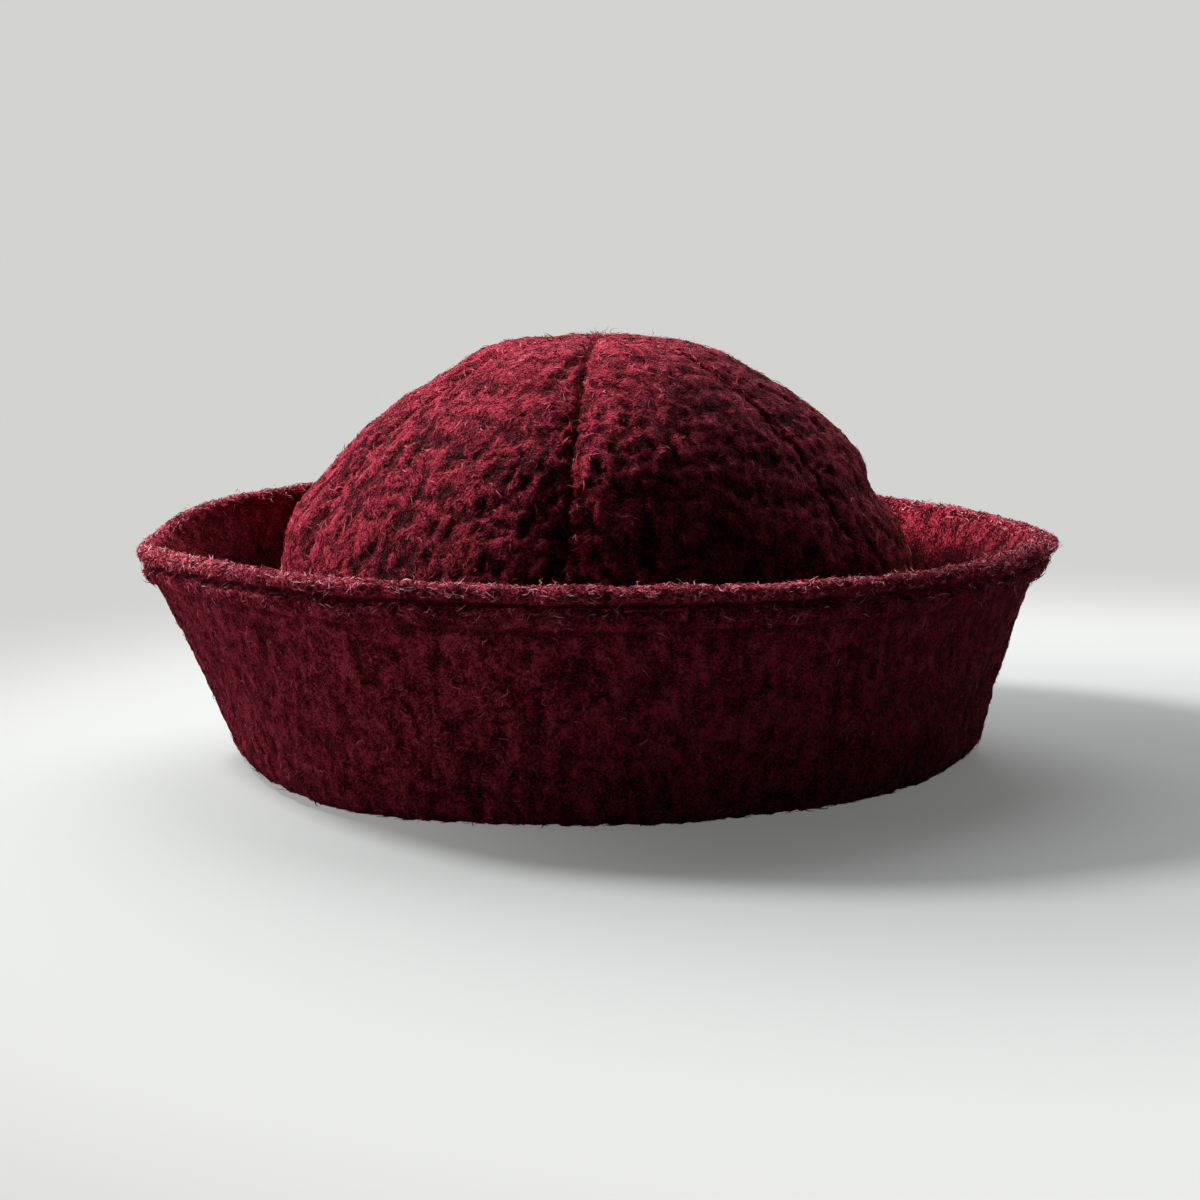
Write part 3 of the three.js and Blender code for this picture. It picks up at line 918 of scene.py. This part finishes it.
class HAT_OT_facing_ply(bpy.types.Operator):
    """Builds the brim's facing, which lines it and rolls over its edge as a soft bead"""

    bl_idname = "hat.facing_ply"
    bl_label = "Brim, facing"

    def execute(self, context):
        shape = context.scene.hat_shape
        spacing = shape.spacing / MM
        azimuth = brim_azimuths(spacing)
        length = brim_parts(azimuth)[-1]
        rise = edge_wander(azimuth, shape.wobble / MM)
        under = length - ROLL_HEIGHT + rise
        half_height, half_width = ROLL_HEIGHT / 2, ROLL_IN + GAP
        turn = np.radians(np.linspace(-85, 180, ROLL_POINTS))
        plump = 1 + PLUMP * smooth_noise(at(BAND_RADIUS, azimuth, 90.0), 7)
        roll_up = under + half_height + half_height * plump * np.sin(turn)
        roll_in = ROLL_IN - half_width * plump * np.cos(turn)
        down = np.linspace(1, 0, round(FACING_HEIGHT / spacing) + 1)[1:] * (under + half_height)
        inside = PLY + CLOTH + GAP * np.exp((down - under - half_height) / 1.5)
        back = np.linspace(0, 1, BACK_POINTS) * under
        along = np.concatenate([roll_up, down, back], axis=1)
        inward = np.concatenate([roll_in, inside, PLY + 0 * back], axis=1)
        roll_nap = np.repeat((0.0, ROLL_NAP), (BARE_POINTS, ROLL_POINTS - BARE_POINTS))
        mat = np.concatenate([roll_nap, np.full(down.shape[1], INSIDE_NAP), np.zeros(BACK_POINTS)])
        # Loft on the roll also makes more fibres pale, as painted highlight.
        on_roll = np.clip(1 - (under - along) / 4, 0, 1)
        # Painted shade: the roll's lower edge is painted dark as the groove's shade, and the inside is
        # painted darker downward from 3 mm below the rim, and a little dark everywhere inside.
        painted_shade = 0.95 * np.clip(1 - (along - under) / 2.0, 0, 1) * (inward < PLY + CLOTH / 2)
        deep = np.clip((length - along - 3) / 16, 0.35, 1) * (inward > PLY + 0.8 * CLOTH)
        sections = azimuth, along, inward, mat, on_roll, np.maximum(painted_shade, deep)
        ply, nap = build_ply("facing_ply", sections, context.scene.hat_nap.facing_fibres, context)
        # Felt this deep throws hardly any light back into the pocket beside the crown.
        ply.visible_diffuse = nap.visible_diffuse = False
        finish_cloth(ply, "brim_facing", nap)
        return {"FINISHED"}


# ------------------------ stage

UNDER_RADIUS = 0.15  # metres of paper under the hat and in its contact shadow
NEAR_RADIUS = 0.26  # metres of paper round the hat that light it from below
FLOOR_RADIUS = 0.42  # metres of flat paper round the hat
SWEEP_RADIUS = 1.7  # where the paper stands upright
SWEEP_TOP = 0.8  # height of the paper's upper edge
WINDOW = (0.0, 0.9, 0.45)  # the direction that most of the soft light comes from
WINDOW_EDGE = 0.6  # cosine of the angle from there at which its light begins
DIM_SKY = 0.002  # the rest of the sky's share of its strength
AIM_SIDE = 0.0005  # metres to the right of the hat's middle where the camera looks
LAMPS = (  # name, setting, place, aim and width, in metres
    ("key lamp", "lamp", (-0.25, 0.08, 0.28), (0.9, -0.21, 0.03), 0.08),
    ("side lamp", "side", (-0.7, -0.15, 0.14), (0.0, 0.0, 0.03), 0.3),
    ("back lamp", "back", (0.0, 0.5, 0.5), (0.0, 0.1, 0.0), 0.6),
)


class HAT_OT_stage(bpy.types.Operator):
    """Builds the paper sweep, the lamps and the camera"""

    bl_idname = "hat.stage"
    bl_label = "Stage"

    def execute(self, context):
        stage = context.scene.hat_stage
        self.add_sweep(stage)
        self.add_sky(context.scene, stage)
        for name, setting, place, aim, width in LAMPS:
            self.add_lamp(name, getattr(stage, setting), place, aim, width)
        self.add_camera(context.scene, stage)
        return {"FINISHED"}

    def add_sweep(self, stage):
        """A round of paper that is flat under the hat and curves up all round it."""
        turn = np.linspace(0, math.pi / 2, 25)
        across = FLOOR_RADIUS + (SWEEP_RADIUS - FLOOR_RADIUS) * np.sin(turn)
        up = SWEEP_TOP * (1 - np.cos(turn))
        self.add_ring("paper_table", [UNDER_RADIUS, 0.2, NEAR_RADIUS], [0, 0, 0], stage)
        under = self.add_ring("paper_under", [0.001, 0.08, UNDER_RADIUS], [0, 0, 0], stage)
        far = self.add_ring("paper_sweep", [NEAR_RADIUS, *across], [0, *up], stage)
        # Only the paper round the hat throws light onto the brim. The paper under the hat is too
        # dark for it, and the far paper's glow would fill the shaded side of the hat.
        under.visible_diffuse = False
        far.visible_diffuse = False

    def add_ring(self, name, radius, height, stage):
        """A ring of paper from its profile's radii and heights in metres."""
        azimuth = np.linspace(0, 360, 97)[:-1, None]
        points = at(np.array(radius) / MM, azimuth, np.array(height) / MM)
        faces = grid_quads(*points.shape[:2], closed=True).tolist()
        paper = shared("seamless paper", seamless_paper, stage.paper, stage.glow)
        ring = add_piece(name, points.reshape(-1, 3), faces, {}, paper)
        return ring

    def add_sky(self, scene, stage):
        """Soft light that comes mostly from a window behind the hat and above it."""
        world = bpy.data.worlds.new("studio")
        world.use_nodes = True
        tree = world.node_tree
        toward = add_node(tree, "ShaderNodeTexCoord").outputs["Generated"]
        inputs = {0: toward, 1: Vector(WINDOW).normalized()}
        facing = add_node(tree, "ShaderNodeVectorMath", {"operation": "DOT_PRODUCT"}, inputs)
        inputs = {"Value": facing.outputs["Value"], 1: WINDOW_EDGE, 3: DIM_SKY * stage.sky, 4: stage.sky}
        strength = add_node(tree, "ShaderNodeMapRange", SMOOTH, inputs)
        background = tree.nodes["Background"]
        background.inputs["Color"].default_value = linear("#f4f6f8")
        tree.links.new(strength.outputs[0], background.inputs["Strength"])
        scene.world = world

    def add_lamp(self, name, strength, place, aim, width):
        """A round lamp whose light doesn't fade with distance."""
        data = bpy.data.lights.new(name, "AREA")
        data.shape, data.size = "DISK", width
        data.energy = strength
        data.use_nodes = True
        tree = data.node_tree
        falloff = add_node(tree, "ShaderNodeLightFalloff", None, {"Strength": 1.0})
        tree.links.new(falloff.outputs["Constant"], tree.nodes["Emission"].inputs["Strength"])
        lamp = bpy.data.objects.new(name, data)
        lamp.location = place
        lamp.rotation_euler = (Vector(aim) - Vector(place)).to_track_quat("-Z", "Y").to_euler()
        lamp.visible_camera = False
        bpy.context.scene.collection.objects.link(lamp)

    def add_camera(self, scene, stage):
        """A camera in front of the hat and a little above it."""
        data = bpy.data.cameras.new("camera")
        data.lens = stage.lens
        camera = bpy.data.objects.new("camera", data)
        aim = Vector((AIM_SIDE, 0, stage.aim_height))
        back = Vector((0, -math.cos(stage.elevation), math.sin(stage.elevation)))
        camera.location = aim + back * stage.distance
        camera.rotation_euler = (-back).to_track_quat("-Z", "Y").to_euler()
        scene.collection.objects.link(camera)
        scene.camera = camera


class HAT_PT_panel(bpy.types.Panel):
    """Lists the hat's pieces and what a user would change"""

    bl_label = "Sailor hat"
    bl_space_type = "VIEW_3D"
    bl_region_type = "UI"
    bl_category = "Hat"

    def draw(self, context):
        for operator in OPERATORS:
            self.layout.operator(operator.bl_idname)
        for name, group in GROUPS.items():
            box = self.layout.box()
            for key in group.__annotations__:
                box.prop(getattr(context.scene, name), key)


GROUPS = {"hat_shape": HatShape, "hat_nap": HatNap, "hat_wool": HatWool, "hat_stage": HatStage}
OPERATORS = (HAT_OT_outer_ply, HAT_OT_facing_ply, HAT_OT_crown, HAT_OT_stage)


def register():
    for made in (*GROUPS.values(), *OPERATORS, HAT_PT_panel):
        bpy.utils.register_class(made)
    for name, group in GROUPS.items():
        setattr(bpy.types.Scene, name, bpy.props.PointerProperty(type=group))


def unregister():
    for name in GROUPS:
        delattr(bpy.types.Scene, name)
    for made in (HAT_PT_panel, *reversed(OPERATORS), *GROUPS.values()):
        bpy.utils.unregister_class(made)


def main():
    """Builds the whole hat and its stage."""
    register()
    bpy.ops.hat.outer_ply()
    bpy.ops.hat.facing_ply()
    bpy.ops.hat.crown()
    bpy.ops.hat.stage()
    bpy.context.scene.view_settings.view_transform = "Standard"


if __name__ == "__main__":
    main()
